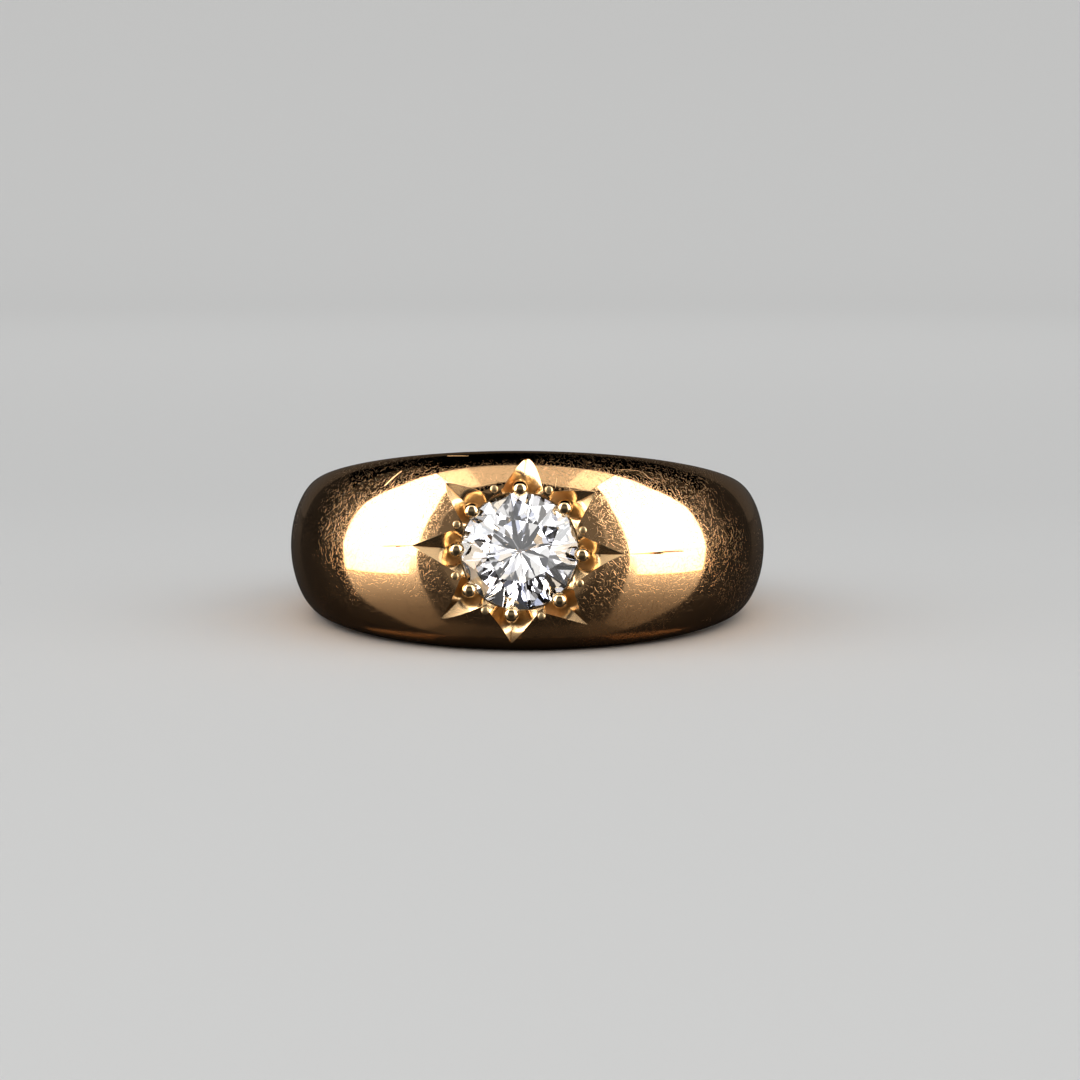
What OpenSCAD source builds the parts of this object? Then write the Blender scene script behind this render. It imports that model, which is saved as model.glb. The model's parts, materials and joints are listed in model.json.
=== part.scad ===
// A domed gold band with an eight-rayed star cut into its front, and one round
// diamond held in the star by eight raised grains.
// The ring lies on its side as it would by itself: z = 0 is the surface it rests on,
// the stone faces -Y, and the origin is where the finger hole's axis meets z = 0.

/* [Finger hole] */
// Diameter of the finger hole
finger_d = 18; // [17.6:0.1:18.4]

/* [Band] */
// Width of the band at the front, round the stone
front_width = 8.3; // [8.1:0.1:8.5]
// Width of the band at either side of the finger
side_width = 5.3; // [5.1:0.1:5.4]
// Width of the band at the back of the finger
back_width = 3.6; // [3.4:0.1:3.8]
// Thickness of the metal under the crown of the dome at the front
front_thickness = 3.1; // [3.05:0.05:3.2]
// Thickness under the crown at either side
side_thickness = 1.65; // [1.5:0.05:1.8]
// Thickness under the crown at the back
back_thickness = 1.25; // [1.1:0.05:1.4]
// Thickness of the flat edge at the front
front_edge = 0.95; // [0.85:0.05:1.05]
// Thickness of the flat edge at the sides and the back
back_edge = 0.45; // [0.4:0.05:0.55]
// How far the dome falls inside a plain half-ellipse near its edges
shoulder_slack = 0.1; // [0:0.02:0.16]

/* [Diamond] */
// Diameter at the girdle
stone_d = 4.8; // [4.7:0.05:4.85]
// Height from the girdle up to the flat table
stone_crown = 0.72; // [0.66:0.02:0.76]
// Depth from the girdle down to the culet
stone_pavilion = 2.06; // [1.96:0.02:2.1]
// Width of the table over the width of the girdle
table_ratio = 0.55; // [0.5:0.01:0.6]
// Turn of the facets about the stone's own axis, in degrees
stone_turn = 9; // [0:1:45]

/* [Star] */
// Depth of the girdle below the top of the dome
stone_sink = 0.85; // [0.8:0.01:0.9]
// Slope of the walls of each V-shaped ray, depth over half width
ray_slope = 0.65; // [0.55:0.05:0.7]
// Greatest depth of a ray below the dome
ray_depth = 0.62; // [0.55:0.01:0.65]
// Diameter of each raised grain
grain_d = 0.66; // [0.6:0.02:0.66]
// Diameter of the round hollow cut about each grain
hollow_d = 1.2; // [1.16:0.02:1.24]

/* [Hidden] */

finger_r = finger_d / 2;
crown_r0 = finger_r + front_thickness;

// The flat edges at front and back lie on the surface, which tips the ring backwards.
rest_rise = (front_width - back_width) / 2;
rest_run = 2 * finger_r + front_edge + back_edge;
rest_tilt = atan(rest_rise / rest_run);
rest_lift = front_width / 2 * cos(rest_tilt) - (finger_r + front_edge) * sin(rest_tilt);

// Steps of the loft round the finger and across the dome
turn_steps = 72;
dome_steps = 16;
// Radius at which the loft stops inside the finger hole, before the hole is bored
core_r = finger_r - 1;
core_reach = 30;

// Stone: radius, girdle height above the ring's axis, thin girdle band, culet flat
stone_r = stone_d / 2;
girdle_h = crown_r0 - stone_sink;
girdle_thick = 0.06;
culet_r = 0.08;
// Where the star facets and lower facets end, as shares of the way from the girdle
star_share = 0.5;
lower_share = 0.3;

// Seat: clearance round the stone, and the hole that lets light in behind it
seat_gap = 0.05;
seat_r = stone_r + seat_gap;
light_r = 1.5;
// Sloping noses of the metal between the rays, from the stone outwards
nose_h = girdle_h + 0.1;
nose_rise = 0.6;
nose_run = 0.5;

// Grains: distance from the stone's axis, height above the girdle, and their stems
grain_r = grain_d / 2;
grain_out = stone_r + 0.18;
grain_up = 0.34;
stem_r = 0.27;
stem_out = stone_r + 0.32;
stem_depth = 0.85;
// Hollows: radius, and depth of the middle of each below the dome
hollow_r = hollow_d / 2;
hollow_drop = 0.12;

// Rays, clockwise from the top as seen from the front. Columns: turn of the ray in
// degrees, reach from the stone's axis, half width and taper of its left edge, the same
// of its right edge, and turn of its grain. A taper under 1 is an arch, over 1 a needle.
TURN = 0; REACH = 1; LEFT = 2; RIGHT = 4; GRAIN = 6;
rays = [
    [  3.8, 3.83, 0.92, 0.75, 0.83, 0.50,   0.5],
    [ 51.8, 3.95, 1.20, 0.85, 0.68, 0.95,  45.6],
    [ 91.4, 4.41, 0.76, 1.13, 1.15, 1.35,  92.6],
    [137.0, 4.16, 0.72, 1.50, 1.03, 1.00, 140.0],
    [185.5, 3.86, 1.02, 0.85, 1.15, 1.20, 187.0],
    [229.5, 4.31, 0.80, 0.70, 0.80, 1.35, 232.3],
    [272.7, 4.47, 1.05, 1.05, 0.88, 1.00, 271.5],
    [312.1, 4.16, 0.75, 0.75, 0.93, 0.77, 310.5]
];
// Distance from the stone's axis at which the half widths hold, and steps along a ray
ray_base = 2.45;
ray_steps = 6;
ray_root = 1.8;
// Height of the cutter above the dome, and its least half width at the tip
cutter_rise = 0.5;
cutter_tip = 0.01;

// A size that runs smoothly round the finger through its front, side and back values
function around(front, side, back, turn) =
    let (mean = (front + back) / 2)
    (mean + side) / 2 + (front - back) / 2 * cos(turn) + (mean - side) / 2 * cos(2 * turn);

function half_width(turn) = around(front_width, side_width, back_width, turn) / 2;
function edge_r(turn) = finger_r + around(front_edge, back_edge, back_edge, turn);
function crown_r(turn) =
    finger_r + around(front_thickness, side_thickness, back_thickness, turn);

// Radius of the dome at a height z along the finger, a slackened half-ellipse
function dome_r(turn, z) =
    let (share = min(1, abs(z) / half_width(turn)))
    edge_r(turn) + (crown_r(turn) - edge_r(turn)) * sqrt(1 - share * share)
        * (1 - shoulder_slack * share * share);

// Height of the dome towards the stone above the point x across and z along the finger
function dome_h(x, z, r = crown_r0, tries = 5) =
    tries == 0 ? sqrt(r * r - x * x) : dome_h(x, z, dome_r(asin(x / r), z), tries - 1);

// A point at a distance from the finger's axis, turned from the front
function ring_point(r, turn, z) = [r * sin(turn), -r * cos(turn), z];

// Quads between the rings of a closed grid of points, split into triangles
function wrap_faces(rings, points_each) = [
    for (i = [0:rings - 1], j = [0:points_each - 1])
    let (
        i2 = (i + 1) % rings,
        j2 = (j + 1) % points_each,
        a = i * points_each + j,
        b = i * points_each + j2,
        c = i2 * points_each + j2,
        d = i2 * points_each + j
    )
    each [[a, b, c], [a, c, d]]
];

// Lays the ring on its side with its front edge and back edge on z = 0, and moves it
// along Y until its axis meets z = 0 at the origin
module lie_down() {
    translate([0, rest_lift * tan(rest_tilt), rest_lift])
        rotate([-rest_tilt, 0, 0]) children();
}

// Turns children built along +Z, from the ring's axis out, to point at the stone
module face_front() {
    rotate([90, 0, 0]) children();
}

// The solid band before the finger hole is bored. Its flat edges lean with the surface
// that the ring rests on, so front and back each touch it along a whole line.
module domed_band() {
    points = [
        for (i = [0:turn_steps - 1])
        let (
            turn = i * 360 / turn_steps,
            w = half_width(turn),
            w_core = w - tan(rest_tilt) * (edge_r(turn) - core_r) * cos(turn)
        )
        each concat(
            [ring_point(core_r, turn, -w_core)],
            [
                for (j = [0:dome_steps])
                let (z = w * sin(j * 180 / dome_steps - 90))
                ring_point(dome_r(turn, z), turn, z)
            ],
            [ring_point(core_r, turn, w_core)]
        )
    ];
    polyhedron(points, wrap_faces(turn_steps, dome_steps + 3), convexity = 6);
}

// Half width of one edge of a ray at a distance from the stone's axis
function ray_half(ray, edge, out) =
    out <= ray_base
        ? ray[edge] * out / ray_base
        : ray[edge] * pow(max(0, (ray[REACH] - out) / (ray[REACH] - ray_base)), ray[edge + 1]);

// A point out along a ray and aside from its middle, at a height towards the stone
function ray_point(ray, out, aside, h) = [
    out * sin(ray[TURN]) + aside * cos(ray[TURN]),
    -h,
    out * cos(ray[TURN]) - aside * sin(ray[TURN])
];

function ray_dome(ray, out, aside) =
    let (p = ray_point(ray, out, aside, 0)) dome_h(p[0], p[2]);

// The V-shaped cutter of one ray: rings of five points from its root to its tip
module ray_cutter(ray) {
    outs = concat(
        [ray_root, ray_base],
        [for (i = [1:ray_steps]) ray_base + (ray[REACH] - ray_base) * i / ray_steps]
    );
    points = [
        for (out = outs)
        let (
            left = max(cutter_tip, ray_half(ray, LEFT, out)),
            right = max(cutter_tip, ray_half(ray, RIGHT, out)),
            depth = min(ray_depth, ray_slope * (left + right) / 2),
            h_left = ray_dome(ray, out, -left),
            h_right = ray_dome(ray, out, right)
        )
        each [
            ray_point(ray, out, 0, ray_dome(ray, out, 0) - depth),
            ray_point(ray, out, right, h_right),
            ray_point(ray, out, right, h_right + cutter_rise),
            ray_point(ray, out, -left, h_left + cutter_rise),
            ray_point(ray, out, -left, h_left)
        ]
    ];
    rings = len(outs);
    last = 5 * (rings - 1);
    sides = [
        for (i = [0:rings - 2], j = [0:4])
        let (a = 5 * i + j, b = 5 * i + (j + 1) % 5)
        each [[a, b + 5, a + 5], [a, b, b + 5]]
    ];
    root = [for (j = [1:3]) [0, j + 1, j]];
    tip = [for (j = [1:3]) [last, last + j, last + j + 1]];
    polyhedron(points, concat(root, sides, tip), convexity = 4);
}

// Everything bored or turned about the stone's own axis
module stone_seat() {
    cone_h = stone_pavilion / stone_r * (seat_r - light_r);
    face_front() {
        cylinder(h = crown_r0, r = light_r, $fn = 96);
        translate([0, 0, girdle_h - cone_h]) cylinder(h = cone_h, r1 = light_r, r2 = seat_r, $fn = 96);
        translate([0, 0, girdle_h]) cylinder(h = nose_h - girdle_h, r = seat_r, $fn = 96);
        translate([0, 0, nose_h])
            cylinder(h = nose_rise, r1 = seat_r, r2 = seat_r + nose_run, $fn = 96);
        translate([0, 0, nose_h + nose_rise]) cylinder(h = 1, r = seat_r + nose_run, $fn = 96);
    }
}

// The round hollow cut into the dome about one grain
module hollow(turn) {
    h = dome_h(grain_out * sin(turn), grain_out * cos(turn)) - hollow_drop;
    rotate([0, turn, 0]) face_front() translate([0, grain_out, h]) sphere(r = hollow_r, $fn = 64);
}

// One raised grain with the stem that joins it to the floor of its hollow
module grain(turn) {
    rotate([0, turn, 0]) face_front() {
        translate([0, grain_out, girdle_h + grain_up]) sphere(r = grain_r, $fn = 48);
        translate([0, stem_out, girdle_h - stem_depth])
            cylinder(h = stem_depth + grain_up, r = stem_r, $fn = 48);
    }
}

module band() {
    color([0.85, 0.62, 0.38]) lie_down() {
        difference() {
            domed_band();
            cylinder(h = core_reach, r = finger_r, center = true, $fn = 180);
            stone_seat();
            for (ray = rays) {
                ray_cutter(ray);
                hollow(ray[GRAIN]);
            }
        }
        for (ray = rays) grain(ray[GRAIN]);
    }
}

// A point of the stone on its own axis, at one of sixteen steps of turn
function stone_point(r, step, h) =
    let (turn = stone_turn + step * 22.5) [r * cos(turn), r * sin(turn), h];

// A brilliant: table and eight kites, stars and sixteen halves above the girdle, and
// eight mains, sixteen halves and a small culet below it. Every kite is flat.
module diamond() {
    table_r = stone_r * table_ratio;
    star_r = table_r + (stone_r - table_r) * star_share;
    star_h = stone_crown * (stone_r - star_r * cos(22.5)) / (stone_r - table_r);
    lower_r = stone_r * lower_share;
    function below(r) = -stone_pavilion * (1 - r * cos(22.5) / stone_r);
    points = concat(
        [for (k = [0:7]) stone_point(table_r, 2 * k, girdle_thick + stone_crown)],
        [for (k = [0:7]) stone_point(star_r, 2 * k + 1, girdle_thick + star_h)],
        [for (k = [0:15]) stone_point(stone_r, k, girdle_thick)],
        [for (k = [0:15]) stone_point(stone_r, k, 0)],
        [for (k = [0:7]) stone_point(lower_r, 2 * k + 1, below(lower_r))],
        [for (k = [0:7]) stone_point(culet_r, 2 * k + 1, below(culet_r))]
    );
    // First point of each ring of the list above
    star = 8; top = 16; low = 32; lower = 48; culet = 56;
    faces = concat(
        [[for (k = [0:7]) 7 - k]],
        [for (k = [0:7]) [k, (k + 1) % 8, star + k]],
        [for (k = [0:7]) [k, star + k, top + 2 * k, star + (k + 7) % 8]],
        [for (k = [0:7]) [star + k, top + 2 * k + 1, top + 2 * k]],
        [for (k = [0:7]) [star + k, top + (2 * k + 2) % 16, top + 2 * k + 1]],
        [for (k = [0:15]) [top + k, top + (k + 1) % 16, low + (k + 1) % 16, low + k]],
        [for (k = [0:7]) [low + 2 * k, low + 2 * k + 1, lower + k]],
        [for (k = [0:7]) [low + 2 * k + 1, low + (2 * k + 2) % 16, lower + k]],
        [
            for (k = [0:7])
            let (before = (k + 7) % 8)
            [low + 2 * k, lower + k, culet + k, culet + before, lower + before]
        ],
        [[for (k = [0:7]) culet + k]]
    );
    color([0.93, 0.95, 0.98, 0.6]) lie_down() face_front()
        translate([0, 0, girdle_h]) polyhedron(points, faces, convexity = 2);
}

band();
diamond();
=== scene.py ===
import json
import math
from collections import namedtuple

import bmesh
import bpy
import numpy as np
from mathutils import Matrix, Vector


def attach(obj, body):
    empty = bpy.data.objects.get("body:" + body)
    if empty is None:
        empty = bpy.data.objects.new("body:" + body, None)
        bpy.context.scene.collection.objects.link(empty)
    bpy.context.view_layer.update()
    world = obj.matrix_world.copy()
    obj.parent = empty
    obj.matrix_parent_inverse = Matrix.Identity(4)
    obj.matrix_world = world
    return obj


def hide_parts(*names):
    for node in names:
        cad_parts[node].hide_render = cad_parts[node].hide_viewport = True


bl_info = {
    "name": "Starburst Ring",
    "version": (1, 0, 0),
    "blender": (4, 5, 0),
    "location": "View3D > Sidebar > Ring",
    "description": "Builds a domed gold ring with a round diamond set in a cut star",
    "category": "Add Mesh",
}

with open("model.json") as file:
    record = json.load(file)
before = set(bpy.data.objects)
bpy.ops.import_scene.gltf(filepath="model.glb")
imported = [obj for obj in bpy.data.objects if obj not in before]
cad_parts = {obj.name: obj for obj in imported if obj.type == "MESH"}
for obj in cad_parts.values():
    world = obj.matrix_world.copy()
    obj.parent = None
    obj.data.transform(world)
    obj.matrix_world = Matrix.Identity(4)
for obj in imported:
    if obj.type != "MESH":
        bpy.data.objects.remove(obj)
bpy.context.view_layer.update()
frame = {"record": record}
FINGER_HOLE = frame["record"]["mounts"][0]

MM = 0.001
BODY = "root"

# The star's rays, clockwise from the top as seen from the front: turn in degrees, reach
# from the stone's axis in millimetres, half width and taper of the left edge, the same of
# the right edge, and turn of the grain. A taper under 1 is an arch, over 1 a needle.
Ray = namedtuple("Ray", "turn reach left left_taper right right_taper grain")
RAYS = (
    Ray(3.8, 3.83, 0.92, 0.75, 0.83, 0.50, 0.5),
    Ray(51.8, 3.95, 1.20, 0.85, 0.68, 0.95, 45.6),
    Ray(91.4, 4.41, 0.76, 1.13, 1.15, 1.35, 92.6),
    Ray(137.0, 4.16, 0.72, 1.50, 1.03, 1.00, 140.0),
    Ray(185.5, 3.86, 1.02, 0.85, 1.15, 1.20, 187.0),
    Ray(229.5, 4.31, 0.80, 0.70, 0.80, 1.35, 232.3),
    Ray(272.7, 4.47, 1.05, 1.05, 0.88, 1.00, 271.5),
    Ray(312.1, 4.16, 0.75, 0.75, 0.93, 0.77, 310.5),
)
# In millimetres: where the half widths hold, how soon a valley leaves the rim, and the
# height over which the walls round off into a hollow
RAY_BASE = 2.45
VALLEY_RUN = 0.5
EASE = 0.2

# The two fine engraved lines: the ray that each runs on from, counted from 0, how far
# sideways it ends in millimetres, and its depth over the line depth. Then where both
# start, and how long they take to ease in and out.
LINES = ((2, 7.7, 1.8), (6, 6.5, 1.0))
LINE_START = 4.3
LINE_EASE_IN = 0.3
LINE_EASE_OUT = 0.9

# Grains in millimetres: how far the ball and the stem's foot stand outside the stone, the
# ball's height over the girdle, and the stem's radius, length and swelling part
GRAIN_OUT = 0.18
STEM_OUT = 0.32
GRAIN_UP = 0.34
STEM_R = 0.27
STEM_LENGTH = 0.9
SWELL = 0.3

# Share of a ray beyond the points between which a nose ends, and sinking of its end
NOSE_PLACE = 0.85
NOSE_SINK = 0.02

# Step in from the rim to the seat and radii of the seat's rings in millimetres, places of
# the light hole's rings as shares of its depth, and width of the lip round its mouth
RIM_GAP = 0.01
SEAT_RINGS = (2.3, 2.1, 1.9, 1.7)
THROAT_RINGS = (0.4, 0.8, 0.95)
MOUTH_LIP = 0.05

# Steps along an edge of a ray and across a nose, and round the whole star
EDGE_STEPS = 24
NOSE_STEPS = 4
COLUMNS = len(RAYS) * (2 * EDGE_STEPS + NOSE_STEPS)

# Steps from the front block's border to the star, down the star, and over the finger
# hole's wall, and the powers that crowd points towards the star and the ray tips
DOME_STEPS = 26
STAR_STEPS = 56
HOLE_STEPS = 12
DOME_CROWD = 1.3
TIP_CROWD = 1.5

# The front block of the band: half its turn, and its steps round and across. Then the
# steps round the rest of the band.
BLOCK_TURN = math.radians(42)
BLOCK_ROUND = 112
BLOCK_ACROSS = 96
BACK_ROUND = 160

# Rounds in which a place in front of the dome is turned into angles
CHART_ROUNDS = 8

# Marks of wear as x and z of the start and of the end, and width, in millimetres in the
# ring's own frame: a deep scratch and a fine one on the left shoulder, a pit on the right,
# two nicks below the star
DENTS = (
    ((-5.69, 2.67), (-5.02, 3.26), 0.12),
    ((-3.07, 3.92), (-2.18, 3.92), 0.05),
    ((3.43, -2.15), (3.45, -2.15), 0.2),
    ((-1.0, -3.66), (-0.8, -3.66), 0.14),
    ((0.55, -3.57), (0.8, -3.57), 0.12),
)

# Sizes in metres of the gold's speckle, its patches of polish on the band and the grains,
# crowds of scratches, polishing waves and tool ripples, and of the bends in scratches
SPECKLE = 0.00006
POLISH_PATCH = 0.0006
GRAIN_PATCH = 0.0002
CROWD = 0.004
WAVE = 0.0022
RIPPLE = 0.00018
BEND = 0.0004
BEND_HEIGHT = 0.0001

# Hairline scratches: cell and width in metres, and weight
HAIRLINES = (
    (0.00012, 0.00001, 0.9),
    (0.00024, 0.000014, 1.0),
    (0.0005, 0.000016, 0.8),
)
SCRATCH_ROUGHNESS = 0.32

# Small lights in front that only the stone catches: x, z and size in metres
SPARKLES = (
    (-0.12, 0.06, 0.09),
    (-0.05, 0.16, 0.08),
    (0.1, 0.14, 0.1),
    (0.14, 0.04, 0.07),
    (0.03, 0.03, 0.04),
)

# Half the room's width, its height, how far inside them the mirrored glows lie, and how
# high the low ones lie, in metres
ROOM_X = 0.25
ROOM_TOP = 0.4
GLOW_INSET = 0.001
LOW_UP = 0.0002

# Outlines in metres of the side light that the gold mirrors, as y and z, of the low glow
# that carries it below the horizon and of the one that carries it overhead, as x and y
WALL = (
    (-0.2, 0),
    (0.025, 0),
    (0.015, 0.11),
    (-0.025, 0.22),
    (-0.035, 0.39),
    (-0.19, 0.39),
    (-0.215, 0.2),
)
LOW = ((0.016, -0.018), (0.24, -0.175), (0.24, 0.02), (0.021, -0.007))
HIGH = ((0.15, -0.24), (0.249, -0.24), (0.249, -0.035), (0.15, -0.035))
BLACK = (0, 0, 0, 1)
WHITE = (1, 1, 1, 1)
LOW_TINT = (1, 0.85, 0.68, 1)
HIGH_TINT = (1, 0.97, 0.92, 1)
ROOM_TINT = (0.97, 0.985, 1, 1)

# Gloss of the floor where the gold and the stone mirror it
DEEP_ROUGHNESS = 0.12
DEEP_IOR = 1.42
DEEP_TINT = (1, 0.85, 0.7, 1)

# The camera: what it looks at and how far from it, in metres, its turn and rise, its lens
# and sensor in millimetres and its shift, and the gamma of the picture
CAMERA_TARGET = (0, 0.00035, 0.0029)
CAMERA_DISTANCE = 0.10856
CAMERA_TURN = math.radians(1.8)
CAMERA_RISE = math.radians(8.4)
CAMERA_LENS = 78.8
CAMERA_SENSOR = 36
CAMERA_SHIFT = (0.011, 0.0044)
VIEW_GAMMA = 0.88

# The diamond: turn of its facets, the angle between its corners, height of the girdle's
# upper and lower edge and radius of the culet in millimetres, and the lower facets' tips
# as a share of the radius
STONE_TURN = math.radians(9)
STONE_STEP = math.pi / 8
GIRDLE_TOP = 0.1
GIRDLE_FOOT = -0.03
CULET_R = 0.08
LOWER_SHARE = 0.3
DIAMOND_IOR = 2.417

# How far its corners stray outwards and upwards, in millimetres
STRAY = {
    "table": (0.04, 0),
    "star": (0.06, 0.035),
    "upper": (0, 0.015),
    "under": (0, 0.008),
    "lower": (0.15, 0.05),
    "culet": (0.02, 0),
}

# Painted fire: tints that a facet lends to what is seen through it, in place of the coloured light
# that a real diamond splits, by its share of that painted fire, the two ends of the range first.
# The table has the share set on the next line.
TABLE_PAINTED_FIRE = 0.5
PAINTED_FIRE = (
    (0.0, (1.0, 0.72, 0.4)),
    (1.0, (0.5, 0.6, 1.0)),
    (0.2, (1.0, 0.95, 0.86)),
    (0.5, (1.0, 0.99, 1.0)),
    (0.8, (0.9, 0.9, 1.0)),
)


def length(name, description, default):
    """A length property in metres."""
    return bpy.props.FloatProperty(
        name=name, description=description, default=default, unit="LENGTH", precision=5
    )


def share(name, description, default):
    """A property from 0 to 1."""
    return bpy.props.FloatProperty(
        name=name, description=description, default=default, min=0, max=1, subtype="FACTOR"
    )


def colour(name, description, default):
    """A colour property."""
    return bpy.props.FloatVectorProperty(
        name=name, description=description, default=default, size=3, min=0, max=1, subtype="COLOR"
    )


def level(name, description, default):
    """A brightness."""
    return bpy.props.FloatProperty(name=name, description=description, default=default, min=0)


class BandSizes(bpy.types.PropertyGroup):
    """Sizes of the domed band."""

    finger_r: length("Finger radius", "Radius of the finger hole", FINGER_HOLE["dims"]["r_mm"] * MM)
    front_width: length("Front width", "Width of the band round the stone", 0.0083)
    side_width: length("Side width", "Width at either side of the finger", 0.0053)
    back_width: length("Back width", "Width at the back of the finger", 0.0036)
    front_crown: length("Front thickness", "Metal under the crown at the front", 0.0031)
    side_crown: length("Side thickness", "Metal under the crown at the sides", 0.00165)
    back_crown: length("Back thickness", "Metal under the crown at the back", 0.00125)
    front_edge: length("Front edge", "Thickness of the flat edge at the front", 0.00095)
    back_edge: length("Back edge", "Thickness of the flat edge elsewhere", 0.00045)
    slack: share("Shoulder slack", "How far the dome falls inside a half-ellipse", 0.1)
    comfort: length("Comfort radius", "Rounding where the flat edge meets the hole", 0.00014)


class StarSizes(bpy.types.PropertyGroup):
    """Sizes of the star, the stone's seat and the grains."""

    stone_r: length("Stone radius", "Radius of the diamond at its girdle", 0.0024)
    pavilion: length("Pavilion", "Depth of the diamond below its girdle", 0.00206)
    crown: length("Crown", "Height of the diamond's table over its girdle", 0.00078)
    table: share("Table", "Width of the table over the width of the girdle", 0.55)
    sink: length("Stone sink", "Depth of the girdle below the top of the dome", 0.00085)
    seat_gap: length("Seat gap", "Clearance round the stone", 0.00005)
    light_r: length("Light hole", "Radius of the hole behind the stone", 0.0015)
    slope: share("Ray slope", "Depth of a ray over its half width", 0.65)
    depth: length("Ray depth", "Greatest depth of a ray below the dome", 0.00062)
    nose_out: length("Nose reach", "Where the metal between rays starts to dip", 0.00295)
    nose_side: length("Nose side reach", "How much further out that is at either side", 0.0009)
    nose_up: length("Nose height", "Height of that metal over the girdle at the stone", 0.00014)
    grain_r: length("Grain radius", "Radius of each raised grain", 0.00033)
    nose_r: length("Nose end", "Radius of the rounded end of the metal between rays", 0.00017)
    hollow: length("Hollow depth", "Depth below the dome of the hollow round each grain", 0.00072)
    hollow_r: length("Hollow radius", "Radius of the hollow round each grain", 0.0008)
    line_depth: length("Line depth", "Depth of the fine lines beyond two rays", 0.000018)


class GoldLook(bpy.types.PropertyGroup):
    """Colours and wear of the gold."""

    gold: colour("Gold", "Polished gold of the band", (0.93, 0.58, 0.3))
    cut: colour("Cut gold", "Bright-cut gold inside the star", (0.95, 0.7, 0.4))
    roughness: share("Roughness", "Roughness of the worn polish", 0.055)
    cut_roughness: share("Cut roughness", "Roughness added in hollows, half of it in rays", 0.3)
    ripples: length("Ripples", "Height of the tool's ripples in the hollows", 0.00002)
    scratch: length("Scratch depth", "Depth of the fine wear scratches", 0.0000025)
    dent: length("Dent depth", "Depth of the few deeper marks of wear", 0.000015)
    waves: length("Waves", "Height of the waves left by polishing", 0.000006)


class StageLook(bpy.types.PropertyGroup):
    """The floor and the lights."""

    floor: colour("Floor", "Colour of the floor", (0.72, 0.716, 0.705))
    mirrored: colour("Mirrored floor", "Colour of the floor in reflections", (0.035, 0.034, 0.033))
    walls: level("Side lights", "Brightness of the two side lights", 4.0)
    edges: level("Side light edges", "Brightness of the dim edges of the side lights", 0.3)
    ceiling: level("Top light", "Brightness of the top light", 0.85)
    sparkle: level("Sparkle", "Brightness of the small lights that only the stone catches", 4.0)
    fill: level("Stone fill", "Brightness of the soft light that only the stone catches", 0.85)
    front: level("Front light", "Brightness of the dim light behind the camera", 0.18)
    back: level("Backdrop light", "Brightness of the light on the backdrop", 2.0)
    rear: level("Rear light", "Brightness of the light behind the ring", 0.06)
    ambient: level("Room", "Brightness of the room, which lights the floor only", 0.6)


def ring_points(r, turn, z):
    """Points at a distance r from the finger hole's axis, at a turn and at z."""
    r, turn, z = np.broadcast_arrays(r, turn, z)
    return np.stack([r * np.sin(turn), -r * np.cos(turn), z], -1)


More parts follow.
